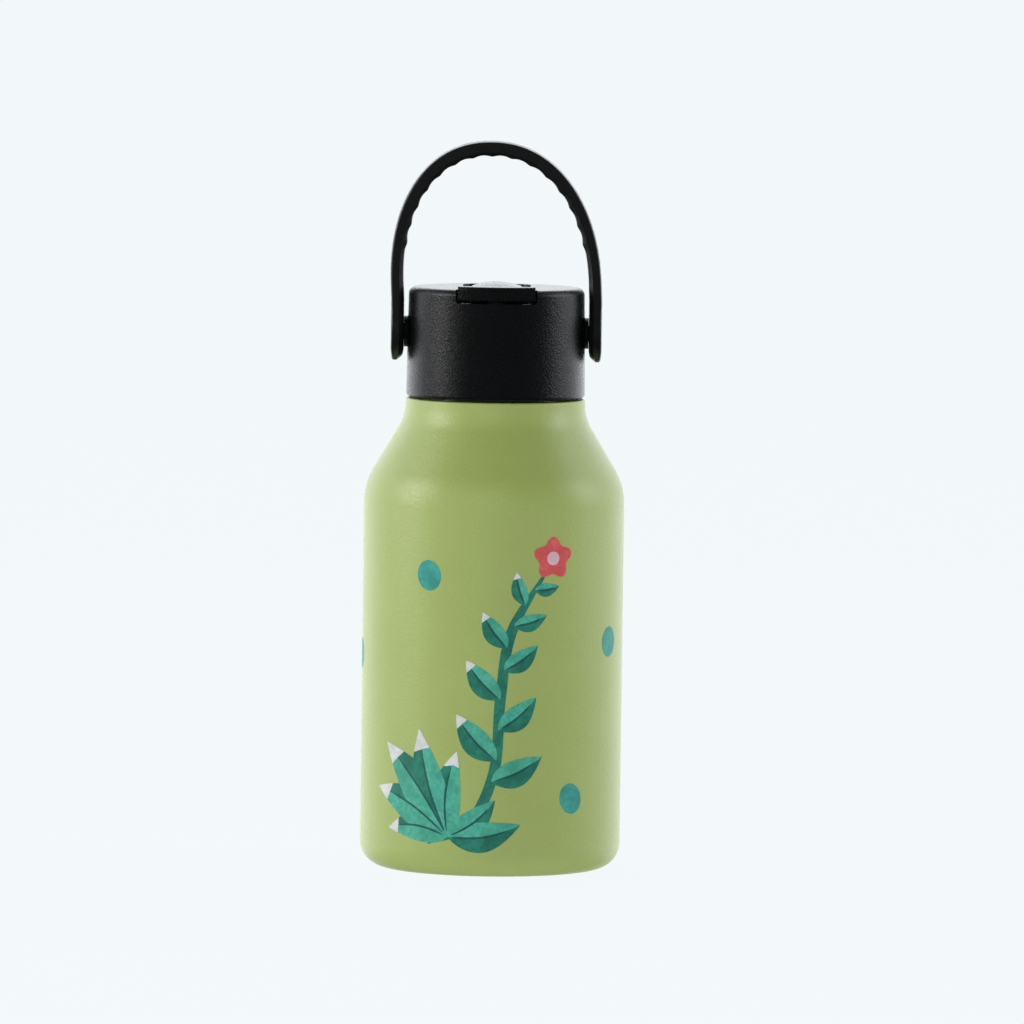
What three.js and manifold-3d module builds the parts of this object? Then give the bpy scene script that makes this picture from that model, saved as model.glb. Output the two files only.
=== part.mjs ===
// A child's vacuum-insulated steel water bottle of 350 ml: a painted double-walled flask,
// a two-part screw lid with a flip-up drinking spout and a straw, and a handle loop that swings over it.
// Millimetres, +Z up. The origin is the middle of the ring that the bottle stands on, and the front is -Y.
import * as THREE from "three";
import { mergeVertices } from "three/addons/utils/BufferGeometryUtils.js";
import Module from "manifold-3d";

const wasm = await Module();
wasm.setup();

// ---------------------------------------------------------------- driving dimensions
const ROUND = 40; // flats in a full turn of the large round parts
const SMALL_ROUND = 20; // flats in a full turn of the small ones
const GAP = 0.3; // clearance between pieces that touch on the real bottle

// Flask
const BODY_R = 36.5;
const COLLAR_R = 25.15; // the painted collar that the lid stands on
const COLLAR_TOP = 131.6;
const CONE_ANGLE = THREE.MathUtils.degToRad(30.8); // of the shoulder, from the vertical
const SHOULDER_Z = 107.5; // where the body's wall would meet the cone with no rounding
const BASE_ROUNDING = 7.2;
const SHOULDER_ROUNDING = 18;
const COLLAR_ROUNDING = 13.5;
const OUTER_WALL = 0.5;
const INNER_WALL = 0.45;
const VACUUM_GAP = 3.6; // between the two walls
const RECESS_R = 26.6; // the recess in the bottom, inside the ring that it stands on
const WELD_Z = 9.5; // where the outer shell is welded to its base
const FLOOR_Z = 7.6; // underside of the inner flask
const INNER_WELD_Z = 14.0; // where the inner flask is welded to its base

// Neck and screw thread
const NECK_R = 20.2;
const NECK_TOP = 143.0;
const THREAD_PITCH = 4.0;
const THREAD_HEIGHT = 1.1;
const NECK_THREAD_Z = 134.6; // middle of the ridge at its lower end
const THREAD_FLANK_GAP = 1.5; // from the neck's ridge down to the lid's ridge, middle to middle

// Lid
const LID_R = 25.1;
const LID_TOP_R = 24.6;
const LID_BOTTOM = 132.0;
const LID_TOP = 162.8;
const LID_ROUNDING = 2.0; // of the top edge
const LID_WALL = 1.5;
const LINER_R = 23.1;
const LINER_BORE_R = 21.6;
const LINER_TOP = 146.9;
const LINER_DISC = 1.7;

// Spout and the channel that it folds into
const HINGE_Y = 9.0;
const HINGE_Z = 156.0;
const HUB_R = 5.4;
const HUB_HALF = 9.1;
const ARM_HALF = 7.3;
const CHANNEL_HALF = 9.5;
const CHANNEL_FLOOR = 150.3;
const CHANNEL_BACK = 18.4;
const TUB_WALL = 3.0;
const TUB_FLOOR = 1.3;
const LIP_HALF = 10.8;
const LIP_BOTTOM = 159.9;
const LIP_TOP = 163.8;
const LIP_R = 25.0; // its front follows the lid's wall
const LIP_BACK = -19.2;
const NOTCH_HALF = 11.35;
const NOTCH_BOTTOM = 159.1;
const NOTCH_BACK = -18.1;
const FLOW_R = 2.3; // drinking bore
const PIN_R = 1.25;

// Straw and valve
const STRAW_R = 3.5;
const STRAW_BORE_R = 2.7;
const STRAW_BOTTOM = 12.5;
const VENT_Y = -10.0;

// Handle
const PIVOT_Z = 150.1;
const PIVOT_BOSS_R = 4.35;
const PIVOT_BOSS_END = 25.7;
const STUD_R = 2.3;
const STUD_HEAD_R = 4.1;
const HANDLE_HALF = 29.6; // half its width over the outside
const HANDLE_THICK = 3.7;
const HANDLE_WIDTH = 12.4; // front to back
const HANDLE_END_R = 8.1;
const CROWN_THICK = 3.9; // at the top of the arch
const ARCH_Z = PIVOT_Z + 13.5; // where the straight legs end
const ARCH_RISE = 40.1; // from there to the top of the arch
const ARCH_POWER = 2.16; // a little squarer than an ellipse's 2
const CUSPS = 15; // between the finger scallops, one of them at the top
const CUSP_PITCH = 5.45;
const CUSP_HEIGHT = 0.6;
const HANDLE_LEAN = 1.9; // the soft arch's top stands this far to the left
const LEAN_FROM_Z = PIVOT_Z + 9;

// ---------------------------------------------------------------- materials
const material = (color, roughness, metalness) =>
  new THREE.MeshStandardMaterial({ color, roughness, metalness });
const GREEN_COAT = material(0xa9bd70, 0.55, 0.1);
const STEEL = material(0xb9bcc0, 0.3, 1.0);
const SOLDER = material(0x8a8f94, 0.4, 0.8);
const GETTER_GREY = material(0x6f7276, 0.8, 0.5);
const BLACK_PLASTIC = material(0x16171a, 0.5, 0.0);
const BLACK_SOFT = material(0x18191b, 0.6, 0.0);
const LINER_PLASTIC = material(0x202124, 0.5, 0.0);
const CLEAR_SILICONE = material(0xdfe4e2, 0.5, 0.0);
const BLACK_SILICONE = material(0x1d1e20, 0.75, 0.0);
const STRAW_PLASTIC = material(0xe8eeee, 0.35, 0.0);

// ---------------------------------------------------------------- shape helpers
// A closed or open line through corners [x, y, rounding], each corner turned into an arc of that radius.
// Small roundings are single flats.
function rounded(corners, closed = true) {
  const n = corners.length;
  const points = [];
  corners.forEach(([x, y, radius = 0], i) => {
    const here = new THREE.Vector2(x, y);
    if (!radius || (!closed && (i === 0 || i === n - 1))) {
      points.push(here);
      return;
    }
    const [px, py] = corners[(i + n - 1) % n];
    const [nx, ny] = corners[(i + 1) % n];
    const back = new THREE.Vector2(px, py).sub(here).normalize();
    const on = new THREE.Vector2(nx, ny).sub(here).normalize();
    const half = Math.acos(THREE.MathUtils.clamp(back.dot(on), -1, 1)) / 2;
    const centre = here.clone().addScaledVector(back.clone().add(on).normalize(), radius / Math.sin(half));
    const from = here.clone().addScaledVector(back, radius / Math.tan(half)).sub(centre);
    const sweep = (Math.PI - 2 * half) * Math.sign(back.cross(on)) * -1;
    const finest = radius > 7 ? 0.3 : radius > 0.9 ? 0.6 : 2;
    const steps = Math.ceil(Math.abs(sweep) / finest);
    for (let k = 0; k <= steps; k++) {
      points.push(from.clone().rotateAround(new THREE.Vector2(), (sweep * k) / steps).add(centre));
    }
  });
  return points;
}

// A body of revolution about +Z from its corners [radius, z, rounding], listed outer wall upwards first.
function turned(corners, segments = ROUND, closed = true) {
  const points = rounded(corners, closed);
  if (closed) points.push(points[0].clone());
  return new THREE.LatheGeometry(points, segments).rotateX(Math.PI / 2);
}

// A plug turned about +Z that is solid to its axis.
const plug = (corners, segments = SMALL_ROUND) => turned(corners, segments, false);

// A shape in the front view (x, z), made solid from y0 to y1.
function frontExtrusion(points, y0, y1) {
  const flat = new THREE.ExtrudeGeometry(new THREE.Shape(points), { depth: y1 - y0, bevelEnabled: false });
  return flat.rotateX(Math.PI / 2).translate(0, y1, 0);
}

// A shape in the side view (y, z), made solid from x0 to x1.
function sideExtrusion(points, x0, x1) {
  const flat = new THREE.ExtrudeGeometry(new THREE.Shape(points), { depth: x1 - x0, bevelEnabled: false });
  return flat.rotateX(Math.PI / 2).rotateZ(Math.PI / 2).translate(x0, 0, 0);
}

// A shape in the top view (x, y), made solid from z0 to z1.
function topExtrusion(points, z0, z1) {
  const flat = new THREE.ExtrudeGeometry(new THREE.Shape(points), { depth: z1 - z0, bevelEnabled: false });
  return flat.translate(0, 0, z0);
}

const rod = (radius, from, to, segments = SMALL_ROUND) =>
  new THREE.CylinderGeometry(radius, radius, to - from, segments)
    .rotateX(Math.PI / 2)
    .translate(0, 0, (from + to) / 2);
const rodAlongX = (radius, from, to, y, z, segments = SMALL_ROUND) =>
  rod(radius, from, to, segments).rotateY(Math.PI / 2).translate(0, y, z);
const rodAlongY = (radius, from, to, x, z, segments = SMALL_ROUND) =>
  rod(radius, -to, -from, segments).rotateX(Math.PI / 2).translate(x, 0, z);
const block = (x0, x1, y0, y1, z0, z1) =>
  new THREE.BoxGeometry(x1 - x0, y1 - y0, z1 - z0).translate((x0 + x1) / 2, (y0 + y1) / 2, (z0 + z1) / 2);

// One turned ridge of a screw thread about +Z. A crest inside the root makes an inner thread.
function threadRidge({ root, crest, rootWidth, crestWidth, startZ, startTurn, turns }) {
  const steps = Math.round(turns * ROUND);
  const fade = 5; // steps over which each end runs out
  const position = [];
  for (let i = 0; i <= steps; i++) {
    const angle = (startTurn + (turns * i) / steps) * 2 * Math.PI;
    const z = startZ + (THREAD_PITCH * turns * i) / steps;
    const height = Math.min(1, (Math.min(i, steps - i) + 0.6) / fade);
    const top = root + (crest - root) * height;
    let section = [
      [root, -rootWidth / 2],
      [top, -crestWidth / 2],
      [top, crestWidth / 2],
      [root, rootWidth / 2],
    ];
    if (crest < root) section = section.reverse();
    section.forEach(([r, dz]) => position.push(r * Math.cos(angle), r * Math.sin(angle), z + dz));
  }
  const index = [0, 1, 2, 0, 2, 3];
  for (let i = 0; i < steps; i++) {
    for (let k = 0; k < 4; k++) {
      const [a, b] = [4 * i + k, 4 * i + ((k + 1) % 4)];
      index.push(a, a + 4, b, b, a + 4, b + 4);
    }
  }
  const last = 4 * steps;
  index.push(last, last + 2, last + 1, last, last + 3, last + 2);
  return new THREE.BufferGeometry()
    .setAttribute("position", new THREE.Float32BufferAttribute(position, 3))
    .setIndex(index);
}

// Booleans
function solid(geometry) {
  const bare = new THREE.BufferGeometry().setAttribute("position", geometry.getAttribute("position"));
  if (geometry.index) bare.setIndex(geometry.index);
  const merged = mergeVertices(bare, 1e-4);
  return new wasm.Manifold(
    new wasm.Mesh({
      numProp: 3,
      vertProperties: merged.attributes.position.array,
      triVerts: new Uint32Array(merged.index.array),
    }),
  );
}

function geometryOf(made) {
  const { numProp, vertProperties, triVerts } = made.getMesh();
  const position = new Float32Array((vertProperties.length / numProp) * 3);
  for (let i = 0; i < position.length / 3; i++) {
    position.set(vertProperties.subarray(i * numProp, i * numProp + 3), i * 3);
  }
  return new THREE.BufferGeometry()
    .setAttribute("position", new THREE.BufferAttribute(position, 3))
    .setIndex(new THREE.BufferAttribute(triVerts, 1));
}

const joined = (first, ...rest) => rest.reduce((sum, g) => sum.add(solid(g)), first);
const less = (first, ...rest) => rest.reduce((sum, g) => sum.subtract(solid(g)), first);

const bottle = new THREE.Group();
function addPiece(name, geometry, look) {
  const mesh = new THREE.Mesh(geometry, look);
  mesh.name = name;
  bottle.add(mesh);
}

// ---------------------------------------------------------------- flask
// The two corners of a wall that runs parallel to the painted surface, inset from it.
function shoulderCorners(radius, collar) {
  const inset = BODY_R - radius;
  const z = SHOULDER_Z - inset * Math.tan(CONE_ANGLE / 2);
  return { z, collarZ: z + (radius - collar) / Math.tan(CONE_ANGLE) };
}

// The painted wall, open at the bottom.
function outerShell() {
  const inner = BODY_R - OUTER_WALL;
  const collarInner = COLLAR_R - OUTER_WALL;
  const outside = shoulderCorners(BODY_R, COLLAR_R);
  const inside = shoulderCorners(inner, collarInner);
  return turned([
    [BODY_R, WELD_Z],
    [BODY_R, outside.z, SHOULDER_ROUNDING],
    [COLLAR_R, outside.collarZ, COLLAR_ROUNDING],
    [COLLAR_R, COLLAR_TOP, 0.6],
    [NECK_R + GAP, COLLAR_TOP],
    [NECK_R + GAP, COLLAR_TOP - OUTER_WALL],
    [collarInner, COLLAR_TOP - OUTER_WALL],
    [collarInner, inside.collarZ, COLLAR_ROUNDING - OUTER_WALL],
    [inner, inside.z, SHOULDER_ROUNDING - OUTER_WALL],
    [inner, WELD_Z],
  ]);
}

// The stamped cup under the painted wall: a rounded edge, the ring that the bottle stands on, and a
// recess with a raised dimple in the middle, where the air is drawn out.
function outerBase() {
  const inner = BODY_R - OUTER_WALL;
  const top = WELD_Z - GAP;
  return plug(
    [
      [0, 5.0],
      [3.6, 5.0, 0.4],
      [5.2, 2.7, 0.4],
      [RECESS_R, 2.7],
      [RECESS_R, 0, 0.5],
      [BODY_R, 0, BASE_ROUNDING],
      [BODY_R, top],
      [inner, top],
      [inner, OUTER_WALL, BASE_ROUNDING - OUTER_WALL],
      [RECESS_R + OUTER_WALL, OUTER_WALL],
      [RECESS_R + OUTER_WALL, 3.3],
      [5.6, 3.3, 0.4],
      [4.0, 5.6, 0.4],
      [0, 5.6],
    ],
    ROUND,
  );
}

const INNER_OUTSIDE_R = BODY_R - OUTER_WALL - VACUUM_GAP;
const INNER_INSIDE_R = INNER_OUTSIDE_R - INNER_WALL;

// The steel vessel with its threaded neck, open at the bottom.
function innerFlask() {
  const bore = NECK_R - 0.8;
  const outside = shoulderCorners(INNER_OUTSIDE_R, NECK_R);
  const inside = shoulderCorners(INNER_INSIDE_R, bore);
  const vessel = turned([
    [INNER_OUTSIDE_R, INNER_WELD_Z],
    [INNER_OUTSIDE_R, outside.z, 5],
    [NECK_R, outside.collarZ, 5],
    [NECK_R, NECK_TOP, 0.35],
    [bore, NECK_TOP, 0.35],
    [bore, inside.collarZ, 5],
    [INNER_INSIDE_R, inside.z, 5],
    [INNER_INSIDE_R, INNER_WELD_Z],
  ]);
  const ridge = threadRidge({
    root: NECK_R - 0.15,
    crest: NECK_R + THREAD_HEIGHT,
    rootWidth: 2.2,
    crestWidth: 0.8,
    startZ: NECK_THREAD_Z,
    startTurn: 0,
    turns: 1.25,
  });
  return geometryOf(joined(solid(vessel), ridge));
}

// The round-edged cup that closes the vessel's bottom.
const innerBase = () =>
  plug(
    [
      [0, FLOOR_Z],
      [INNER_OUTSIDE_R, FLOOR_Z, 6],
      [INNER_OUTSIDE_R, INNER_WELD_Z - GAP],
      [INNER_INSIDE_R, INNER_WELD_Z - GAP],
      [INNER_INSIDE_R, FLOOR_Z + INNER_WALL, 5.5],
      [0, FLOOR_Z + INNER_WALL],
    ],
    ROUND,
  );

// The bright disc pressed into the recess, with one shallow ring stamped in it.
const baseCover = () =>
  plug(
    [
      [0, 1.2],
      [17.5, 1.2],
      [18.1, 1.6],
      [20.3, 1.6],
      [20.9, 1.2],
      [RECESS_R - GAP, 1.2],
      [RECESS_R - GAP, 1.8],
      [20.6, 1.8],
      [20.0, 2.2],
      [18.4, 2.2],
      [17.8, 1.8],
      [0, 1.8],
    ],
    32,
  );

const vacuumSeal = () => plug([[0, 3.1], [2.2, 3.1, 0.5], [2.6, 4.6, 0.4], [0, 4.6]], 16);
const getter = () => plug([[0, 3.7], [4.2, 3.7, 0.3], [4.2, 5.4, 0.5], [0, 5.4]], 16).translate(15, 0, 0);

addPiece("outer_shell", outerShell(), GREEN_COAT);
addPiece("outer_base", outerBase(), GREEN_COAT);
addPiece("inner_flask", innerFlask(), STEEL);
addPiece("inner_base", innerBase(), STEEL);
addPiece("base_cover", baseCover(), STEEL);
addPiece("vacuum_seal", vacuumSeal(), SOLDER);
addPiece("getter", getter(), GETTER_GREY);

// ---------------------------------------------------------------- lid
const lidGasket = () =>
  turned([
    [NECK_R - 2.0, NECK_TOP + 0.25, 0.3],
    [LINER_BORE_R - GAP, NECK_TOP + 0.25, 0.3],
    [LINER_BORE_R - GAP, LINER_TOP - LINER_DISC - 0.25, 0.3],
    [NECK_R - 2.0, LINER_TOP - LINER_DISC - 0.25, 0.3],
  ]);

// The threaded cup inside the lid: its disc holds the gasket down on the neck's rim.
function lidLiner() {
  const cup = turned(
    [
      [0, LINER_TOP - LINER_DISC],
      [LINER_BORE_R, LINER_TOP - LINER_DISC],
      [LINER_BORE_R, LID_BOTTOM + 0.6],
      [LINER_R, LID_BOTTOM + 0.6, 0.4],
      [LINER_R, LINER_TOP, 0.6],
      [0, LINER_TOP],
    ],
    ROUND,
    false,
  );
  const quarter = 0.25;
  const ridge = threadRidge({
    root: LINER_BORE_R + 0.15,
    crest: LINER_BORE_R - THREAD_HEIGHT,
    rootWidth: 1.8,
    crestWidth: 0.8,
    startZ: NECK_THREAD_Z + THREAD_PITCH * quarter - THREAD_FLANK_GAP,
    startTurn: quarter,
    turns: 1.0,
  });
  const through = [LINER_TOP - LINER_DISC - 1, LINER_TOP + 1];
  return geometryOf(
    less(
      joined(solid(cup), ridge),
      rod(5.2, ...through).translate(0, HINGE_Y, 0),
      rod(2.1, ...through).translate(0, VENT_Y, 0),
    ),
  );
}

// The channel in the top view has a rounded back; its front follows the lid's wall.
function channel(spread, z0, z1) {
  const outline = rounded([
    [-CHANNEL_HALF - spread, -30],
    [CHANNEL_HALF + spread, -30],
    [CHANNEL_HALF + spread, CHANNEL_BACK + spread, 4 + spread],
    [-CHANNEL_HALF - spread, CHANNEL_BACK + spread, 4 + spread],
  ]);
  return solid(topExtrusion(outline, z0, z1));
}

function lidCover() {
  const outside = [
    [0, LID_BOTTOM],
    [LID_R, LID_BOTTOM, 1.2],
    [LID_TOP_R, LID_TOP, LID_ROUNDING],
    [0, LID_TOP],
  ];
  const inside = [
    [0, LID_BOTTOM - 1],
    [LID_R - LID_WALL, LID_BOTTOM - 1],
    [LID_TOP_R - LID_WALL, LID_TOP - 1.8, 0.6],
    [0, LID_TOP - 1.8],
  ];
  const envelope = solid(turned(outside, ROUND, false));
  const shell = envelope.subtract(solid(turned(inside, ROUND, false)));
  const tubFloor = CHANNEL_FLOOR - TUB_FLOOR;
  const tub = channel(TUB_WALL, tubFloor, LID_TOP - 1).intersect(envelope);
  const bore = solid(rod(LID_R - LID_WALL, 140, 170, ROUND));
  const room = channel(0, CHANNEL_FLOOR, LID_TOP + 5).intersect(bore);
  const bosses = [-1, 1].map((side) =>
    rodAlongX(PIVOT_BOSS_R, ...[side * 23.7, side * PIVOT_BOSS_END].sort((a, b) => a - b), 0, PIVOT_Z, 28),
  );
  const notch = rounded([
    [-NOTCH_HALF, NOTCH_BOTTOM, 0.9],
    [NOTCH_HALF, NOTCH_BOTTOM, 0.9],
    [NOTCH_HALF, LID_TOP + 5],
    [-NOTCH_HALF, LID_TOP + 5],
  ]);
  return geometryOf(
    less(
      joined(shell.add(tub), ...bosses).subtract(room),
      frontExtrusion(notch, -30, NOTCH_BACK),
      rodAlongX(PIN_R + 0.25, -20, 20, HINGE_Y, HINGE_Z, 24),
      rodAlongX(STUD_R + GAP, -30, -20, 0, PIVOT_Z, 24),
      rodAlongX(STUD_R + GAP, 20, 30, 0, PIVOT_Z, 24),
      rod(5.2, tubFloor - 1, CHANNEL_FLOOR + 1, 24).translate(0, HINGE_Y, 0),
      rod(1.5, tubFloor - 1, CHANNEL_FLOOR + 1, 16).translate(0, VENT_Y, 0),
    ),
  );
}

// The soft seat under the spout's hub, hollowed to the hub's curve.
function hubSeal() {
  const ring = turned(
    [
      [2.6, 149.0],
      [4.9, 149.0],
      [4.9, 151.1],
      [2.6, 151.1],
    ],
    24,
  ).translate(0, HINGE_Y, 0);
  return geometryOf(less(solid(ring), rodAlongX(HUB_R + 0.25, -9, 9, HINGE_Y, HINGE_Z, 36)));
}

const strawAdapter = () =>
  turned(
    [
      [2.6, 148.7],
      [2.6, 143.0],
      [STRAW_R + 0.2, 143.0],
      [STRAW_R + 0.2, 131.0],
      [4.9, 131.0, 0.4],
      [4.9, LINER_TOP + GAP],
      [6.2, LINER_TOP + GAP],
      [6.2, 148.7],
    ],
    SMALL_ROUND,
  ).translate(0, HINGE_Y, 0);

// Cut aslant at the bottom, so that it can't seal against the floor.
function straw() {
  const tube = turned(
    [
      [STRAW_BORE_R, STRAW_BOTTOM],
      [STRAW_R, STRAW_BOTTOM],
      [STRAW_R, 142.7],
      [STRAW_BORE_R, 142.7],
    ],
    SMALL_ROUND,
  );
  const cut = new THREE.BoxGeometry(20, 20, 8).rotateY(Math.PI / 5).translate(0, 0, STRAW_BOTTOM - 2.6);
  return geometryOf(less(solid(tube), cut)).translate(0, HINGE_Y, 0);
}

// A mushroom valve that lets air into the flask as the child drinks.
const ventValve = () =>
  plug(
    [
      [0, 143.7],
      [3.6, 144.3, 0.3],
      [3.6, 144.95],
      [1.8, 144.95],
      [1.8, LINER_TOP + 0.2],
      [2.5, LINER_TOP + 0.2],
      [1.9, 148.5, 0.4],
      [0, 148.5],
    ],
    16,
  ).translate(0, VENT_Y, 0);

addPiece("lid_gasket", lidGasket(), CLEAR_SILICONE);
addPiece("lid_liner", lidLiner(), LINER_PLASTIC);
addPiece("lid_cover", lidCover(), BLACK_PLASTIC);
addPiece("hub_seal", hubSeal(), CLEAR_SILICONE);
addPiece("straw_adapter", strawAdapter(), CLEAR_SILICONE);
addPiece("straw", straw(), STRAW_PLASTIC);
addPiece("vent_valve", ventValve(), CLEAR_SILICONE);

// ---------------------------------------------------------------- spout
// The rigid arm, folded flat: a crowned back, a wide lip at its front end and a round hub at its hinge.
function spoutArm() {
  const side = rounded([
    [-22.6, 162.6],
    [-21.0, 163.1, 2],
    [-8.0, 164.3, 30],
    [4.0, 164.3, 16],
    [HINGE_Y + 4.6, 161.6, 3],
    [HINGE_Y + 4.6, HINGE_Z, 2],
    [4.0, HINGE_Z, 1],
    [4.0, 153.4, 1],
    [-20.6, 153.4, 1],
    [-20.6, LIP_BOTTOM],
    [-22.6, LIP_BOTTOM],
  ]);
  const crown = rounded([
    [-ARM_HALF, 150],
    [ARM_HALF, 150],
    [ARM_HALF, 162.9, 1.2],
    [0, 164.9, 18],
    [-ARM_HALF, 162.9, 1.2],
  ]);
  const lipSides = block(-LIP_HALF, LIP_HALF, -30, LIP_BACK, LIP_BOTTOM, LIP_TOP);
  const lipFront = turned(
    [[0, LIP_BOTTOM], [LIP_R, LIP_BOTTOM, 0.5], [LIP_R, LIP_TOP, 0.9], [0, LIP_TOP]],
    72,
    false,
  );
  const crowned = solid(frontExtrusion(crown, -26, 20));
  const body = solid(sideExtrusion(side, -ARM_HALF, ARM_HALF)).intersect(crowned);
  return geometryOf(
    less(
      joined(
        body.add(solid(lipSides).intersect(solid(lipFront))),
        rodAlongX(HUB_R, -HUB_HALF, HUB_HALF, HINGE_Y, HINGE_Z, 36),
      ),
      rodAlongY(5.1, -22.1, 0.6, 0, HINGE_Z, 24),
      block(-5.1, 5.1, -22.1, 0.6, 150, HINGE_Z),
      rodAlongY(FLOW_R, -5, 20, 0, HINGE_Z, 16),
      rodAlongX(PIN_R + 0.25, -12, -3.6, HINGE_Y, HINGE_Z, 24),
      rodAlongX(PIN_R + 0.25, 3.6, 12, HINGE_Y, HINGE_Z, 24),
    ),
  );
}

// The soft nozzle held under the arm, with its drinking bore.
const mouthpiece = () =>
  turned(
    [
      [FLOW_R, 0],
      [4.9, 0, 0.4],
      [4.9, 4.0, 0.6],
      [4.2, 6.0, 1],
      [3.9, 17.0, 3],
      [4.4, 21.9, 1.2],
      [FLOW_R, 21.9, 0.6],
    ],
    24,
  )
    .rotateX(Math.PI / 2)
    .translate(0, 0.2, HINGE_Z);

const spoutPin = (side) =>
  plug([[0, 4.1], [PIN_R, 4.1, 0.2], [PIN_R, 12.6, 0.3], [0, 12.6]], 16)
    .rotateY((side * Math.PI) / 2)
    .translate(0, HINGE_Y, HINGE_Z);

addPiece("spout_arm", spoutArm(), BLACK_PLASTIC);
addPiece("mouthpiece", mouthpiece(), BLACK_SILICONE);

// ---------------------------------------------------------------- handle
const leaning = ({ x, y }) => {
  const share = Math.max(0, (y - LEAN_FROM_Z) / (ARCH_Z + ARCH_RISE - LEAN_FROM_Z));
  return new THREE.Vector2(x - HANDLE_LEAN * share, y);
};

// Half a superellipse, from the right foot over the top to the left one.
class Arch extends THREE.Curve {
  constructor(half, rise) {
    super();
    this.half = half;
    this.rise = rise;
  }

  getPoint(t, target = new THREE.Vector2()) {
    const [c, s] = [Math.cos(Math.PI * t), Math.sin(Math.PI * t)];
    const power = 2 / ARCH_POWER;
    const x = this.half * Math.sign(c) * Math.abs(c) ** power;
    return target.set(x, ARCH_Z + this.rise * Math.abs(s) ** power);
  }
}

// The loop in the front view: straight legs and an arch, with finger scallops along its inside.
function handleOutline() {
  const innerHalf = HANDLE_HALF - HANDLE_THICK;
  const outer = new Arch(HANDLE_HALF, ARCH_RISE);
  const inner = new Arch(innerHalf, ARCH_RISE - CROWN_THICK);
  const end = (side) => [
    [side * innerHalf, PIVOT_Z - 4.8, 1],
    [side * (innerHalf + 0.9), PIVOT_Z - HANDLE_END_R, 0.8],
    [side * (HANDLE_HALF - 0.4), PIVOT_Z - HANDLE_END_R, 1],
    [side * HANDLE_HALF, PIVOT_Z - 4.8, 1],
  ];
  const leftEnd = rounded([[-innerHalf, ARCH_Z], ...end(-1), [-HANDLE_HALF, ARCH_Z]], false);
  const rightEnd = rounded([[innerHalf, ARCH_Z], ...end(1), [HANDLE_HALF, ARCH_Z]], false);
  const perPitch = 4;
  const half = (CUSPS * perPitch) / 2;
  const turnsPerPitch = CUSP_PITCH / inner.getLength();
  const scalloped = [];
  for (let k = -half; k <= half; k++) {
    const pitches = k / perPitch;
    const u = 0.5 + pitches * turnsPerPitch;
    const inward = inner.getTangentAt(u).rotateAround(new THREE.Vector2(), Math.PI / 2);
    const ridge = CUSP_HEIGHT * (1 - Math.abs(Math.sin(pitches * Math.PI)));
    scalloped.push(inner.getPointAt(u).addScaledVector(inward, ridge));
  }
  const plain = [0.02, 0.04].map((u) => inner.getPointAt(u));
  const otherPlain = [0.96, 0.98].map((u) => inner.getPointAt(u));
  const outerArch = outer.getSpacedPoints(36).slice(1, -1).reverse();
  return [...leftEnd, ...outerArch, ...rightEnd.reverse(), ...plain, ...scalloped, ...otherPlain].map(leaning);
}

function handleLoop() {
  const side = new THREE.Shape();
  const half = HANDLE_WIDTH / 2;
  const top = ARCH_Z + ARCH_RISE + 5;
  const reach = Math.asin(half / HANDLE_END_R);
  side.moveTo(half, top);
  side.lineTo(-half, top);
  side.absarc(0, PIVOT_Z, HANDLE_END_R, Math.PI / 2 + reach, 2.5 * Math.PI - reach, false);
  side.closePath();
  const loop = solid(frontExtrusion(handleOutline(), -12, 12));
  const silhouette = solid(sideExtrusion(side.getPoints(14), -35, 35));
  const cuts = [-1, 1].flatMap((s) => [
    rodAlongX(STUD_R + GAP, ...[s * 20, s * 35].sort((a, b) => a - b), 0, PIVOT_Z, 24),
    rodAlongX(STUD_HEAD_R + GAP, ...[s * 27.9, s * 35].sort((a, b) => a - b), 0, PIVOT_Z, 24),
  ]);
  return geometryOf(less(loop.intersect(silhouette), ...cuts));
}

// A stud pushed through the handle's eye into the lid, and the ring that grips it inside.
const pivotStud = (side) =>
  plug([
    [0, 21.3],
    [1.7, 21.3, 0.4],
    [1.7, 22.9],
    [STUD_R, 22.9],
    [STUD_R, 28.1],
    [STUD_HEAD_R, 28.1],
    [STUD_HEAD_R, 29.3, 0.5],
    [0, 29.3],
  ])
    .rotateY((side * Math.PI) / 2)
    .translate(0, 0, PIVOT_Z);

const pivotRing = (side) =>
  turned([[1.9, 21.9], [3.0, 21.9, 0.2], [3.0, 22.6, 0.2], [1.9, 22.6]], SMALL_ROUND)
    .rotateY((side * Math.PI) / 2)
    .translate(0, 0, PIVOT_Z);

addPiece("handle_loop", handleLoop(), BLACK_SOFT);
for (const [side, name] of [[-1, "left"], [1, "right"]]) {
  addPiece(`spout_pin_${name}`, spoutPin(side), STEEL);
  addPiece(`pivot_stud_${name}`, pivotStud(side), BLACK_PLASTIC);
  addPiece(`pivot_ring_${name}`, pivotRing(side), STEEL);
}

export default bottle;
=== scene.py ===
"""A child's insulated steel water bottle in matt green, with a black flip-spout lid and an arched handle.

Lengths are written in millimetres and turned into metres as each mesh is made.
"""
import math

import bmesh
import bpy
from mathutils import Matrix, Vector, geometry


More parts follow.
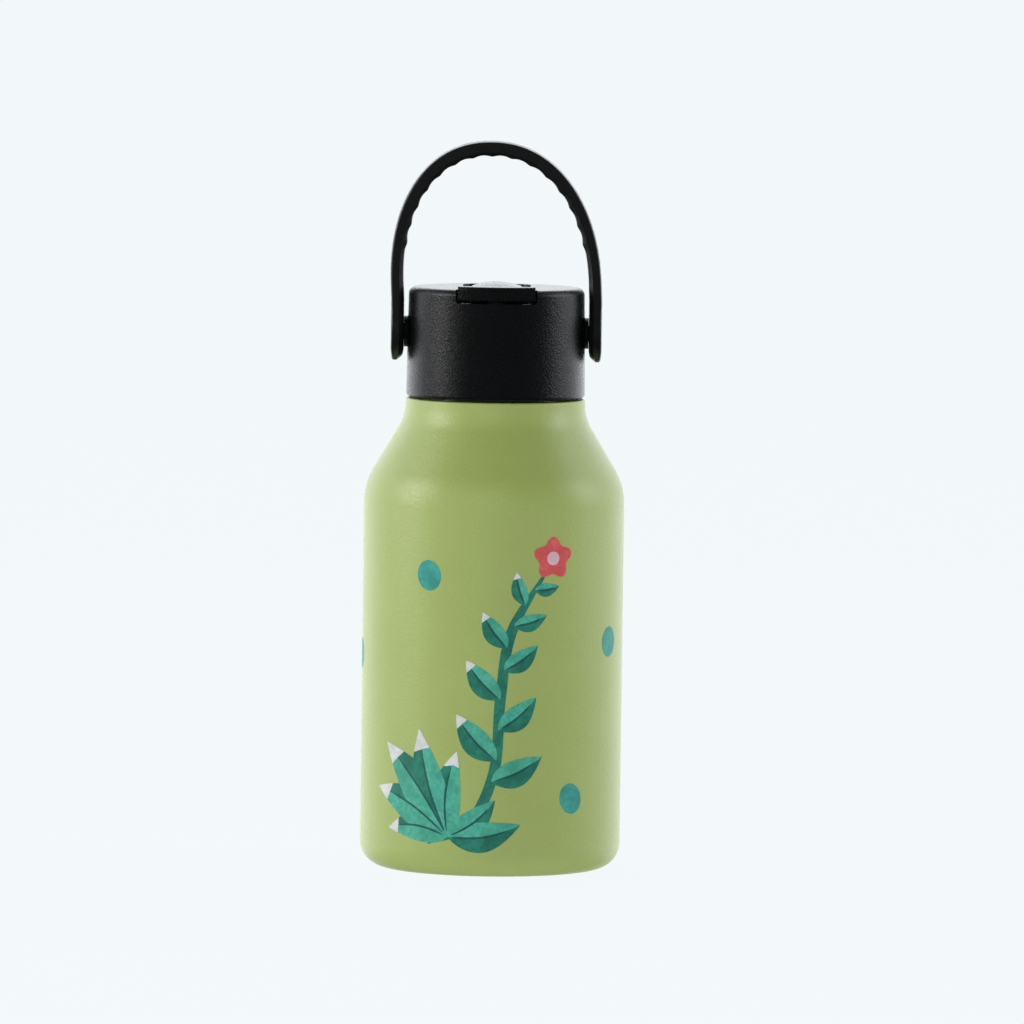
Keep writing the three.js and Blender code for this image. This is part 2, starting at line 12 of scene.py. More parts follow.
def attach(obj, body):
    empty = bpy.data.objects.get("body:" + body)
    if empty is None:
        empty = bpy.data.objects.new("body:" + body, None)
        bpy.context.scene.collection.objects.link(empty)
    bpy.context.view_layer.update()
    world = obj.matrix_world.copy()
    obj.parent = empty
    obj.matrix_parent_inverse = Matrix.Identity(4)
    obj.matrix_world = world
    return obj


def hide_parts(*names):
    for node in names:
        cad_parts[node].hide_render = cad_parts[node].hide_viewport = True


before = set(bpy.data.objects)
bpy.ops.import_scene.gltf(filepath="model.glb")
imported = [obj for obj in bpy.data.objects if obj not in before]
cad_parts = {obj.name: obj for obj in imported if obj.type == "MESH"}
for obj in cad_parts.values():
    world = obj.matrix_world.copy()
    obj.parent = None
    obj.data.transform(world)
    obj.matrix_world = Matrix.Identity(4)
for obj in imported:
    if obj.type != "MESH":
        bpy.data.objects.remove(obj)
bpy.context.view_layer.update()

MM = 0.001
PI = math.pi
ROUND = 192  # flats in a full turn of the large round pieces
SMALL_ROUND = 64
GAP = 0.3
FIT = 0.25  # clearance round a pin, a hub or a seal

# Flask
BODY_R = 36.5
COLLAR_R = 25.15
COLLAR_TOP = 131.6
CONE_ANGLE = math.radians(30.8)
SHOULDER_Z = 107.5
BASE_ROUNDING = 7.2
SHOULDER_ROUNDING = 18
COLLAR_ROUNDING = 13.5
OUTER_WALL = 0.5
INNER_WALL = 0.45
VACUUM_GAP = 3.6
RECESS_R = 26.6
FLOOR_Z = 7.6
NECK_R = 20.2
NECK_TOP = 143.0
THREAD_PITCH = 4.0
THREAD_HEIGHT = 1.1
THREAD_ROOT = 0.15  # how far a ridge is sunk into its wall
THREAD_STEPS = 96  # in a full turn
THREAD_FADE = 10  # steps over which an end fades out
NECK_THREAD_Z = 134.6

# Lid
LID_R = 25.1
LID_TOP_R = 24.6
LID_BOTTOM = 132.0
LID_TOP = 162.8
LID_ROUNDING = 2.0
LID_WALL = 1.5
LINER_R = 23.1
LINER_BORE_R = 21.6
LINER_TOP = 146.9
LINER_DISC = 1.7
PIVOT_Z = 150.1
PIVOT_BOSS_R = 4.35
PIVOT_BOSS_END = 25.82

# Spout
HINGE_Y = 9.0
HINGE_Z = 156.0
HUB_R = 5.4
HUB_HALF = 9.1
ARM_HALF = 7.3
CHANNEL_HALF = 9.5
CHANNEL_FLOOR = 150.3
CHANNEL_BACK = 18.4
TUB_WALL = 3.0
TUB_FLOOR = 1.3
LIP_HALF = 10.8
LIP_BOTTOM = 159.9
LIP_TOP = 163.8
LIP_R = 25.0
LIP_BACK = -19.2
NOTCH_HALF = 11.35
NOTCH_BOTTOM = 159.1
NOTCH_BACK = -18.1
FLOW_R = 2.3
PIN_R = 1.25
STRAW_HOLE_R = 5.2
VENT_Y = -10.0
ARM_FRONT = -20.6
ARM_BACK = HINGE_Y + 4.6
ARM_BOTTOM = 153.4
ARM_SIDE_TOP = 158  # the section above this follows the crest down at both ends
ARM_CREST = 164.3
ARM_STEPS = 72
CREST_FRONT = -8  # the crest is level between these two
CREST_BACK = 4
POCKET_R = 5.1
POCKET_FRONT = -22.1
POCKET_BACK = 0.6

# Handle
HANDLE_HALF = 29.6
HANDLE_THICK = 3.7
CROWN_THICK = 3.9
HANDLE_WIDTH = 12.4
HANDLE_END_R = 8.1
ARCH_Z = PIVOT_Z + 13.5
ARCH_RISE = 40.1
ARCH_POWER = 2.16
CUSPS = 15
CUSP_PITCH = 5.45
CUSP_HEIGHT = 0.48
HANDLE_LEAN = 1.9
LEAN_FROM_Z = PIVOT_Z + 9
NOSE_DEPTH = 4.8  # how far below the pivot the strap's end starts to taper
NOSE_STEPS = 26
LEG_STEPS = 20
ARCH_STEPS = 300
STRAP_STEPS = 30  # across the strap
STUD_R = 2.3
STUD_HEAD_R = 4.1

# Studio
LIGHT_TARGET = (0, 0, 0.1)  # metres, as the lights are
VIEW_DISTANCE = 2900.0
VIEW_HEIGHT = 300.0
VIEW_TARGET = (5.05, 0.0, 99.7)
VIEW_LENS = 364.5
VIEW_ROLL = math.radians(0.75)
BACKDROP = (0.899, 0.947, 0.957)
TENT_FRONT = 0.07
TENT_BACK = 2.15
TENT_ROOF = 0.6
TENT_BELOW = 0.1
FLOOR_DROP = 0.02  # keeps the floor off the standing ring
FLOOR_GREY = 0.035
FLOOR_GLOW = (0.874, 0.921, 0.932)


# ---------------------------------------------------------------- camera, floor and light
def make_camera():
    data = bpy.data.cameras.new("camera")
    data.lens = VIEW_LENS
    data.sensor_width = 36.0
    data.clip_end = 50.0
    camera = bpy.data.objects.new("camera", data)
    bpy.context.scene.collection.objects.link(camera)
    eye = Vector((VIEW_TARGET[0], -VIEW_DISTANCE, VIEW_HEIGHT)) * MM
    look = Vector(VIEW_TARGET) * MM - eye
    turn = look.to_track_quat("-Z", "Y").to_matrix().to_4x4()
    camera.matrix_world = Matrix.Translation(eye) @ turn @ Matrix.Rotation(VIEW_ROLL, 4, "Z")
    bpy.context.scene.camera = camera


def area_light(name, azimuth, elevation, distance, size, power, colour=(1, 1, 1), glossy=True):
    """Azimuth 0 is in front of the bottle, and 90 is to its right."""
    data = bpy.data.lights.new(name, "AREA")
    data.shape = "RECTANGLE"
    data.size, data.size_y = size
    data.energy = power
    data.color = colour
    light = bpy.data.objects.new(name, data)
    bpy.context.scene.collection.objects.link(light)
    a, e = math.radians(azimuth), math.radians(elevation)
    way = Vector((math.sin(a) * math.cos(e), -math.cos(a) * math.cos(e), math.sin(e)))
    light.location = Vector(LIGHT_TARGET) + way * distance
    light.rotation_euler = (-way).to_track_quat("-Z", "Y").to_euler()
    light.visible_glossy = glossy


def smooth_range(tree, value, low, high, to_low, to_high):
    node = tree.nodes.new("ShaderNodeMapRange")
    node.interpolation_type = "SMOOTHSTEP"
    for key, number in (("From Min", low), ("From Max", high), ("To Min", to_low), ("To Max", to_high)):
        node.inputs[key].default_value = number
    tree.links.new(value, node.inputs["Value"])
    return node.outputs["Result"]


def make_world():
    """A pale tent, brighter at the sides and behind than in front and overhead."""
    world = bpy.data.worlds.new("tent")
    world.use_nodes = True
    bpy.context.scene.world = world
    tree = world.node_tree
    tree.nodes.clear()
    out = tree.nodes.new("ShaderNodeOutputWorld")
    seen = tree.nodes.new("ShaderNodeBackground")
    seen.inputs["Color"].default_value = (*BACKDROP, 1)
    lit = tree.nodes.new("ShaderNodeBackground")
    lit.inputs["Color"].default_value = (0.93, 0.97, 1.0, 1)
    place = tree.nodes.new("ShaderNodeTexCoord")
    split = tree.nodes.new("ShaderNodeSeparateXYZ")
    tree.links.new(place.outputs["Generated"], split.inputs[0])
    walls = smooth_range(tree, split.outputs["Y"], -0.15, 1.0, TENT_FRONT, TENT_BACK)
    roof = smooth_range(tree, split.outputs["Z"], 0.35, 0.95, 1.0, TENT_ROOF)
    below = smooth_range(tree, split.outputs["Z"], -0.6, -0.15, TENT_BELOW, 1.0)
    strength = walls
    for share in (roof, below):
        node = tree.nodes.new("ShaderNodeMath")
        node.operation = "MULTIPLY"
        tree.links.new(strength, node.inputs[0])
        tree.links.new(share, node.inputs[1])
        strength = node.outputs[0]
    tree.links.new(strength, lit.inputs["Strength"])
    path = tree.nodes.new("ShaderNodeLightPath")
    pick = tree.nodes.new("ShaderNodeMixShader")
    tree.links.new(path.outputs["Is Camera Ray"], pick.inputs[0])
    tree.links.new(lit.outputs[0], pick.inputs[1])
    tree.links.new(seen.outputs[0], pick.inputs[2])
    tree.links.new(pick.outputs[0], out.inputs[0])


def make_floor():
    """A pale sheet that gives off most of its light itself, as a back-lit table does."""
    mesh = bpy.data.meshes.new("floor")
    made = bmesh.new()
    bmesh.ops.create_circle(made, cap_ends=True, segments=96, radius=40.0)
    made.to_mesh(mesh)
    made.free()
    floor = bpy.data.objects.new("floor", mesh)
    floor.location.z = -FLOOR_DROP * MM
    bpy.context.scene.collection.objects.link(floor)
    material = bpy.data.materials.new("floor")
    material.use_nodes = True
    shader = material.node_tree.nodes["Principled BSDF"]
    shader.inputs["Base Color"].default_value = (FLOOR_GREY, FLOOR_GREY, FLOOR_GREY, 1)
    shader.inputs["Roughness"].default_value = 0.9
    shader.inputs["Specular IOR Level"].default_value = 0.0
    shader.inputs["Emission Color"].default_value = (*FLOOR_GLOW, 1)
    shader.inputs["Emission Strength"].default_value = 1.0
    mesh.materials.append(material)
    floor.visible_glossy = False


# ---------------------------------------------------------------- outlines and solids
def rounded(corners, closed=True, finest=0.13):
    """The line through corners (x, y, rounding), with each corner turned into an arc of that radius."""
    points = []
    n = len(corners)
    for i, corner in enumerate(corners):
        here = Vector(corner[:2])
        radius = corner[2] if len(corner) > 2 else 0
        if not radius or (not closed and i in (0, n - 1)):
            points.append(here)
            continue
        back = (Vector(corners[i - 1][:2]) - here).normalized()
        on = (Vector(corners[(i + 1) % n][:2]) - here).normalized()
        half = back.angle(on) / 2
        centre = here + (back + on).normalized() * (radius / math.sin(half))
        start = here + back * (radius / math.tan(half)) - centre
        sweep = (PI - 2 * half) * -math.copysign(1, back.x * on.y - back.y * on.x)
        steps = max(3, math.ceil(abs(sweep) / finest))
        for k in range(steps + 1):
            points.append(centre + Matrix.Rotation(sweep * k / steps, 2) @ start)
    return points


def new_object(name, verts, faces):
    mesh = bpy.data.meshes.new(name)
    mesh.from_pydata([Vector(v) * MM for v in verts], [], faces)
    obj = bpy.data.objects.new(name, mesh)
    bpy.context.scene.collection.objects.link(obj)
    made = bmesh.new()
    made.from_mesh(mesh)
    bmesh.ops.remove_doubles(made, verts=made.verts, dist=1e-7)
    bmesh.ops.recalc_face_normals(made, faces=made.faces)
    made.to_mesh(mesh)
    made.free()
    return obj


def turned(name, corners, segments=ROUND, centre=(0, 0, 0), to_axis=False):
    """A body of revolution about Z from corners (radius, z, rounding).

    Its outline is closed on itself, or ends on the axis.
    """
    line = rounded(corners, closed=not to_axis)
    verts, rings = [], []
    for p in line:
        if p.x < 1e-6:
            rings.append([len(verts)] * segments)
            verts.append((0, 0, p.y))
            continue
        rings.append([len(verts) + k for k in range(segments)])
        for k in range(segments):
            a = 2 * PI * k / segments
            verts.append((p.x * math.cos(a), p.x * math.sin(a), p.y))
    faces = []
    pairs = list(zip(rings, rings[1:]))
    if not to_axis:
        pairs.append((rings[-1], rings[0]))
    for low, high in pairs:
        for k in range(segments):
            m = (k + 1) % segments
            face = list(dict.fromkeys([low[k], low[m], high[m], high[k]]))
            if len(face) > 2:
                faces.append(face)
    obj = new_object(name, verts, faces)
    obj.data.transform(Matrix.Translation(Vector(centre) * MM))
    return obj


def put(obj, at, turn, axis):
    """Turns a piece made at the origin about an axis, and moves it to its place."""
    obj.data.transform(Matrix.Translation(Vector(at) * MM) @ Matrix.Rotation(turn, 4, axis))
    return obj


def set_across(obj, side, y=0.0, z=PIVOT_Z):
    """Lays a piece made about Z across the lid, pointing to the right for side 1."""
    return put(obj, (0, y, z), side * PI / 2, "Y")


def prism(name, outline, along, low, high):
    """The outline made solid along X, Y or Z. It is in (y, z), (x, z) or (x, y)."""
    place = {
        "X": lambda p, h: (h, p[0], p[1]),
        "Y": lambda p, h: (p[0], h, p[1]),
        "Z": lambda p, h: (p[0], p[1], h),
    }[along]
    n = len(outline)
    verts = [place(p, low) for p in outline] + [place(p, high) for p in outline]
    faces = [list(range(n)), list(range(2 * n - 1, n - 1, -1))]
    faces += [[k, (k + 1) % n, n + (k + 1) % n, n + k] for k in range(n)]
    return new_object(name, verts, faces)


def rod(name, radius, low, high, along="Z", centre=(0, 0), segments=SMALL_ROUND):
    turns = [2 * PI * k / segments for k in range(segments)]
    circle = [(centre[0] + radius * math.cos(a), centre[1] + radius * math.sin(a)) for a in turns]
    return prism(name, circle, along, low, high)


def block(name, x, y, z):
    """A box between the low and high value on each axis."""
    return prism(name, [(x[0], y[0]), (x[1], y[0]), (x[1], y[1]), (x[0], y[1])], "Z", *z)


def apply_modifiers(obj):
    depsgraph = bpy.context.evaluated_depsgraph_get()
    mesh = bpy.data.meshes.new_from_object(obj.evaluated_get(depsgraph))
    obj.modifiers.clear()
    obj.data = mesh


def combine(obj, operation, *others):
    """Adds, cuts or intersects a piece with the others, which are used up."""
    for other in others:
        modifier = obj.modifiers.new("cut", "BOOLEAN")
        modifier.operation = operation
        modifier.solver = "MANIFOLD"
        modifier.object = other
        bpy.context.view_layer.update()
        apply_modifiers(obj)
        bpy.data.objects.remove(other)
    return obj


def soften(obj, width, angle=35, segments=3):
    """Rounds the edges that turn by more than the angle."""
    made = bmesh.new()
    made.from_mesh(obj.data)
    bmesh.ops.remove_doubles(made, verts=made.verts, dist=0.01 * MM)
    bmesh.ops.dissolve_degenerate(made, edges=made.edges, dist=0.01 * MM)
    made.to_mesh(obj.data)
    made.free()
    modifier = obj.modifiers.new("soften", "BEVEL")
    modifier.width = width * MM
    modifier.segments = segments
    modifier.limit_method = "ANGLE"
    modifier.angle_limit = math.radians(angle)
    modifier.use_clamp_overlap = True
    bpy.context.view_layer.update()
    apply_modifiers(obj)
    return obj


def cone_surface(low_r, low_z, high_r, high_z):
    """The normal at a point on a cone about Z, or nothing away from it."""
    slope = (low_r - high_r) / (high_z - low_z)

    def normal(p):
        r = math.hypot(p.x, p.y)
        if abs(r - (low_r - slope * (p.z - low_z))) > 0.03 or not low_z - 0.1 < p.z < high_z + 0.1:
            return None
        return Vector((p.x / r, p.y / r, slope)).normalized()

    return normal


def edge_surface(ring_r, ring_z, rounding):
    """The normal at a point on the round outer edge of a disc about Z, or nothing away from it."""
    def normal(p):
        r = math.hypot(p.x, p.y)
        out = Vector((r - ring_r, p.z - ring_z))
        if abs(out.length - rounding) > 0.04:
            return None
        out.normalize()
        return Vector((out.x * p.x / r, out.x * p.y / r, out.y))

    return normal


def flat_surface(z):
    return lambda p: Vector((0, 0, 1)) if abs(p.z - z) < 0.01 else None


def true_normals(obj, *surfaces):
    """Shades the faces that lie on a plain surface with its own normals, up to their cut edges."""
    mesh = obj.data
    normals = [Vector()] * len(mesh.loops)
    for face in mesh.polygons:
        for k in face.loop_indices:
            p = mesh.vertices[mesh.loops[k].vertex_index].co / MM
            for surface in surfaces:
                normal = surface(p)
                if normal and normal.dot(face.normal) > 0.985:
                    normals[k] = normal
                    break
    mesh.normals_split_custom_set(normals)
    return obj


def smooth(obj, angle=32):
    obj.data.shade_smooth()
    obj.data.set_sharp_from_angle(angle=math.radians(angle))
    return obj


def finish_piece(obj, material, body, *nodes, slot=None):
    """Gives a piece its material and its body, and hides the CAD nodes that it replaces."""
    obj.data.materials.clear()
    obj.data.materials.append(material)
    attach(obj, body)
    if nodes:
        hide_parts(*nodes)
    return obj


# ---------------------------------------------------------------- materials
class Nodes:
    """A material's node tree, with short calls for what these materials use."""

    def __init__(self, name):
        self.material = bpy.data.materials.new(name)
        self.material.use_nodes = True
        self.tree = self.material.node_tree
        self.shader = self.tree.nodes["Principled BSDF"]
        self.place = self.add("ShaderNodeTexCoord").outputs["Object"]

    def add(self, kind, **values):
        node = self.tree.nodes.new(kind)
        for key, value in values.items():
            setattr(node, key, value)
        return node

    def link(self, a, b):
        self.tree.links.new(a, b)

    def fill(self, socket, value):
        if hasattr(value, "is_output"):
            self.link(value, socket)
        else:
            socket.default_value = value

    def stretched(self, scale):
        node = self.add("ShaderNodeMapping")
        node.inputs["Scale"].default_value = scale
        self.link(self.place, node.inputs["Vector"])
        return node.outputs[0]

    def noise(self, size, detail=3.0, roughness=0.5):
        """Noise with grains about size mm across."""
        node = self.add("ShaderNodeTexNoise")
        node.inputs["Scale"].default_value = 1.0 / (size * MM)
        node.inputs["Detail"].default_value = detail
        node.inputs["Roughness"].default_value = roughness
        self.link(self.place, node.inputs["Vector"])
        return node.outputs["Fac"]

    def cells(self, size, smoothness=0.3):
        """Rounded cells about size mm across."""
        node = self.add("ShaderNodeTexVoronoi", feature="SMOOTH_F1")
        node.inputs["Scale"].default_value = 1.0 / (size * MM)
        node.inputs["Smoothness"].default_value = smoothness
        self.link(self.place, node.inputs["Vector"])
        return node.outputs["Distance"]

    def ramp(self, value, low, high, to_low=0.0, to_high=1.0):
        return smooth_range(self.tree, value, low, high, to_low, to_high)

    def spread(self, value, low, high):
        """Noise, which mostly lies from 0.3 to 0.7, spread from low to high."""
        return self.ramp(value, 0.3, 0.7, low, high)

    def mix(self, share, a, b):
        node = self.add("ShaderNodeMix", data_type="RGBA")
        self.fill(node.inputs[0], share)
        self.fill(node.inputs[6], a)
        self.fill(node.inputs[7], b)
        return node.outputs[2]

    def maths(self, operation, a, b):
        node = self.add("ShaderNodeMath", operation=operation)
        self.fill(node.inputs[0], a)
        self.fill(node.inputs[1], b)
        return node.outputs[0]

    def bump(self, height, depth, strength=1.0, below=None):
        """A bump whose full height is depth mm."""
        node = self.add("ShaderNodeBump")
        node.inputs["Strength"].default_value = strength
        node.inputs["Distance"].default_value = depth * MM
        self.link(height, node.inputs["Height"])
        if below:
            self.link(below, node.inputs["Normal"])
        return node.outputs[0]

    def set(self, **values):
        names = {
            "colour": "Base Color",
            "rough": "Roughness",
            "metal": "Metallic",
            "specular": "Specular IOR Level",
            "normal": "Normal",
            "subsurface": "Subsurface Weight",
            "coat": "Coat Weight",
            "coat_rough": "Coat Roughness",
        }
        for key, value in values.items():
            self.fill(self.shader.inputs[names[key]], value)
        return self.material


def srgb(r, g, b):
    """A colour from its 8-bit values."""
    def linear(v):
        v /= 255
        return v / 12.92 if v <= 0.04045 else ((v + 0.055) / 1.055) ** 2.4

    return (linear(r), linear(g), linear(b), 1)


def powder_coat():
    n = Nodes("powder_coat")
    cloud = n.noise(14, 2)
    fleck = n.noise(0.45, 2, 0.6)
    base = n.mix(cloud, srgb(160, 177, 91), srgb(167, 184, 99))
    colour = n.mix(n.ramp(fleck, 0.35, 0.75, 0.0, 0.35), base, srgb(178, 192, 120))
    orange_peel = n.bump(n.noise(1.3, 2, 0.5), 0.04, 0.6)
    grain = n.bump(n.noise(0.5, 2, 0.6), 0.07, 1.0, below=orange_peel)
    rough = n.spread(n.noise(0.7, 2), 0.36, 0.46)
    return n.set(colour=colour, rough=rough, specular=1.0, normal=grain)


def grained_plastic():
    n = Nodes("grained_plastic")
    pores = n.bump(n.cells(0.5, 0.25), 0.055, 1.0)
    normal = n.bump(n.noise(0.38, 2, 0.6), 0.07, 1.0, below=pores)
    colour = n.mix(n.noise(9, 3), srgb(7, 8, 9), srgb(10, 11, 13))
    rough = n.spread(n.noise(0.55, 3, 0.6), 0.24, 0.36)
    return n.set(colour=colour, rough=rough, specular=0.45, normal=normal)


def smooth_plastic(name, colour_a, colour_b, rough=0.38):
    n = Nodes(name)
    colour = n.mix(n.noise(7, 3), colour_a, colour_b)
    normal = n.bump(n.noise(0.35, 2, 0.6), 0.012, 0.6)
    rough = n.spread(n.noise(2.5, 3), rough - 0.05, rough + 0.07)
    return n.set(colour=colour, rough=rough, specular=0.5, normal=normal)


def handle_plastic():
    n = Nodes("handle_plastic")
    colour = n.mix(n.noise(5.5, 3, 0.5), srgb(13, 14, 14), srgb(19, 20, 20))
    wavy = n.bump(n.noise(3.6, 2, 0.45), 0.14, 0.6)
    fine = n.bump(n.noise(0.45, 2, 0.6), 0.025, 0.7, below=wavy)
    rough = n.spread(n.noise(1.8, 3), 0.32, 0.44)
    return n.set(colour=colour, rough=rough, specular=0.7, normal=fine)


def brushed_steel(name, low=0.24, high=0.38):
    """Turned steel, with fine lines around the axis."""
    n = Nodes(name)
    radius = n.add("ShaderNodeVectorMath", operation="LENGTH")
    n.link(n.stretched((1, 1, 0)), radius.inputs[0])
    lines = n.add("ShaderNodeTexNoise", noise_dimensions="1D")
    lines.inputs["Scale"].default_value = 4200
    lines.inputs["Detail"].default_value = 3
    height = n.add("ShaderNodeSeparateXYZ")
    n.link(n.place, height.inputs[0])
    n.link(n.maths("ADD", radius.outputs["Value"], height.outputs["Z"]), lines.inputs["W"])
    fac = lines.outputs["Fac"]
    colour = n.mix(n.noise(12, 2), (0.56, 0.57, 0.58, 1), (0.64, 0.65, 0.66, 1))
    rough = n.spread(fac, low, high)
    return n.set(colour=colour, metal=1.0, rough=rough, normal=n.bump(fac, 0.004, 0.5))


def silicone(name, colour_a, colour_b, subsurface=0.0):
    n = Nodes(name)
    colour = n.mix(n.noise(3, 3), colour_a, colour_b)
    normal = n.bump(n.noise(0.3, 2), 0.008, 0.5)
    rough = n.spread(n.noise(2, 2), 0.42, 0.56)
    return n.set(colour=colour, rough=rough, normal=normal, specular=0.4, subsurface=subsurface)


def print_ink(name, colour_a, colour_b):
    """Ink laid on unevenly, as crayon is, over the coat's own grain."""
    n = Nodes(name)
    stroke = n.maths("MULTIPLY", n.noise(1.4, 4, 0.65), n.noise(4.2, 3, 0.5))
    colour = n.mix(n.ramp(stroke, 0.12, 0.38), colour_a, colour_b)
    normal = n.bump(n.noise(0.45, 2, 0.6), 0.03, 0.8)
    rough = n.spread(n.noise(0.8, 2), 0.42, 0.54)
    return n.set(colour=colour, rough=rough, specular=0.45, normal=normal)


# ---------------------------------------------------------------- flask
def shoulder_corners(radius, collar):
    z = SHOULDER_Z - (BODY_R - radius) * math.tan(CONE_ANGLE / 2)
    return z, z + (radius - collar) / math.tan(CONE_ANGLE)


def bottle_shell():
    """The painted wall with its base, in one surface: no weld shows under the coat."""
    inner, collar_inner = BODY_R - OUTER_WALL, COLLAR_R - OUTER_WALL
    out_z, out_collar = shoulder_corners(BODY_R, COLLAR_R)
    in_z, in_collar = shoulder_corners(inner, collar_inner)
    return turned("bottle_shell", [
        (0, 5.0),
        (3.6, 5.0, 0.6),
        (5.2, 2.7, 0.8),
        (RECESS_R, 2.7, 0.3),
        (RECESS_R, 0, 0.5),
        (BODY_R, 0, BASE_ROUNDING),
        (BODY_R, out_z, SHOULDER_ROUNDING),
        (COLLAR_R, out_collar, COLLAR_ROUNDING),
        (COLLAR_R, COLLAR_TOP, 0.6),
        (NECK_R + GAP, COLLAR_TOP, 0.2),
        (NECK_R + GAP, COLLAR_TOP - OUTER_WALL, 0.2),
        (collar_inner, COLLAR_TOP - OUTER_WALL, 0.2),
        (collar_inner, in_collar, COLLAR_ROUNDING - OUTER_WALL),
        (inner, in_z, SHOULDER_ROUNDING - OUTER_WALL),
        (inner, OUTER_WALL, BASE_ROUNDING - OUTER_WALL),
        (RECESS_R + OUTER_WALL, OUTER_WALL, 0.2),
        (RECESS_R + OUTER_WALL, 3.3, 0.4),
        (5.6, 3.3, 0.4),
        (4.0, 5.6, 0.4),
        (0, 5.6),
    ], segments=256, to_axis=True)


def thread_ridge(root, crest, root_width, crest_width, start_z, start_turn, turns):
    """A screw ridge that rises from start_z, with both ends fading into the wall."""
    steps = round(turns * THREAD_STEPS)
    verts, faces = [], []
    for i in range(steps + 1):
        a = (start_turn + turns * i / steps) * 2 * PI
        z = start_z + THREAD_PITCH * turns * i / steps
        top = root + (crest - root) * min(1, (min(i, steps - i) + 0.6) / THREAD_FADE)
        for r, dz in ((root, -root_width), (top, -crest_width), (top, crest_width), (root, root_width)):
            verts.append((r * math.cos(a), r * math.sin(a), z + dz / 2))
    for i in range(steps):
        for k in range(4):
            a, b = 4 * i + k, 4 * i + (k + 1) % 4
            faces.append([a, a + 4, b + 4, b])
    faces += [[0, 1, 2, 3], [4 * steps + 3, 4 * steps + 2, 4 * steps + 1, 4 * steps]]
    return new_object("ridge", verts, faces)


def inner_vessel():
    outer = BODY_R - OUTER_WALL - VACUUM_GAP
    inner, bore = outer - INNER_WALL, NECK_R - 0.8
    out_z, out_collar = shoulder_corners(outer, NECK_R)
    in_z, in_collar = shoulder_corners(inner, bore)
    vessel = turned("inner_vessel", [
        (0, FLOOR_Z),
        (outer, FLOOR_Z, 6),
        (outer, out_z, 5),
        (NECK_R, out_collar, 5),
        (NECK_R, NECK_TOP, 0.35),
        (bore, NECK_TOP, 0.35),
        (bore, in_collar, 5),
        (inner, in_z, 5),
        (inner, FLOOR_Z + INNER_WALL, 5.5),
        (0, FLOOR_Z + INNER_WALL),
    ], to_axis=True)
    root, crest = NECK_R - THREAD_ROOT, NECK_R + THREAD_HEIGHT
    ridge = thread_ridge(root, crest, 2.2, 0.8, NECK_THREAD_Z, 0, 1.25)
    return smooth(soften(combine(vessel, "UNION", ridge), 0.12, 50, 2))


def base_disc():
    return turned("base_disc", [
        (0, 1.2),
        (17.5, 1.2, 1.0),
        (18.1, 1.6, 0.6),
        (20.3, 1.6, 0.6),
        (20.9, 1.2, 1.0),
        (RECESS_R - GAP, 1.2, 0.2),
        (RECESS_R - GAP, 1.8, 0.2),
        (20.6, 1.8, 0.6),
        (20.0, 2.2, 0.5),
        (18.4, 2.2, 0.5),
        (17.8, 1.8, 0.6),
        (0, 1.8),
    ], to_axis=True)


def solder_bead():
    return turned("solder_bead", [
        (0, 3.1),
        (2.2, 3.1, 0.5),
        (2.6, 4.6, 0.4),
        (0, 4.6),
    ], SMALL_ROUND, to_axis=True)


def getter_pill():
    return turned("getter_pill", [
        (0, 3.7),
        (4.2, 3.7, 0.3),
        (4.2, 5.4, 0.5),
        (0, 5.4),
    ], SMALL_ROUND, (15, 0, 0), to_axis=True)


# ---------------------------------------------------------------- print
# The sprig lies flat in mm: s runs round the wall to the right of the front, and z is height. Each sort
# of ink is a thin closed skin over the coat, and the sorts stand on each other like printed layers.
INK_STEP = 0.02
INK_ROOT = -0.04
INK_GRID = (1.2, 1.1)  # spacing of the points inside an outline
PETALS = 5


def smooth_line(points, per=8):
    """A Catmull-Rom line through the points."""
    pts = [Vector(p) for p in points]
    pts = [2 * pts[0] - pts[1], *pts, 2 * pts[-1] - pts[-2]]
    line = []
    for a, b, c, d in zip(pts, pts[1:], pts[2:], pts[3:]):
        for k in range(per):
            t = k / per
            line.append(0.5 * (2 * b + (c - a) * t + (2 * a - 5 * b + 4 * c - d) * t**2
                               + (3 * b - a - 3 * c + d) * t**3))
    return line + [pts[-2]]


def ribbon(line, width):
    """The outline of a line drawn with a pen whose width tapers to a point at both ends."""
    left, right = [], []
    last = len(line) - 1
    for i, p in enumerate(line):
        way = (line[min(i + 1, last)] - line[max(i - 1, 0)]).normalized()
        half = width / 2 * min(1, 0.25 + 4 * i / last, 0.25 + 4 * (last - i) / last)
        side = Vector((-way.y, way.x)) * half
        left.append(p + side)
        right.append(p - side)
    return left + right[::-1]


def leaf(root, angle, length, width, bend=0.0):
    """A leaf's left edge (1), middle line (0) and right edge (-1), from its root to its tip."""
    way = Vector((math.cos(math.radians(angle)), math.sin(math.radians(angle))))
    side = Vector((-way.y, way.x))
    steps = 16
    edges = {1: [], 0: [], -1: []}
    for i in range(steps + 1):
        t = i / steps
        mid = Vector(root) + way * (length * t) + side * (bend * length * math.sin(PI * t))
        half = width / 2 * math.sin(PI * t**0.8) ** 0.9 if 0 < i < steps else 0
        for sign in edges:
            edges[sign].append(mid + side * (half * sign))
    return edges


def oval(centre, across, up, turn=0.0, steps=28, ripple=0.0):
    """An oval, or with a ripple the outline of a round-petalled flower."""
    line = []
    for k in range(steps):
        a = 2 * PI * k / steps
        r = 1 + ripple * math.cos(PETALS * a)
        point = Vector((across * r * math.cos(a), up * r * math.sin(a)))
        line.append(Vector(centre) + Matrix.Rotation(turn, 2) @ point)
    return line


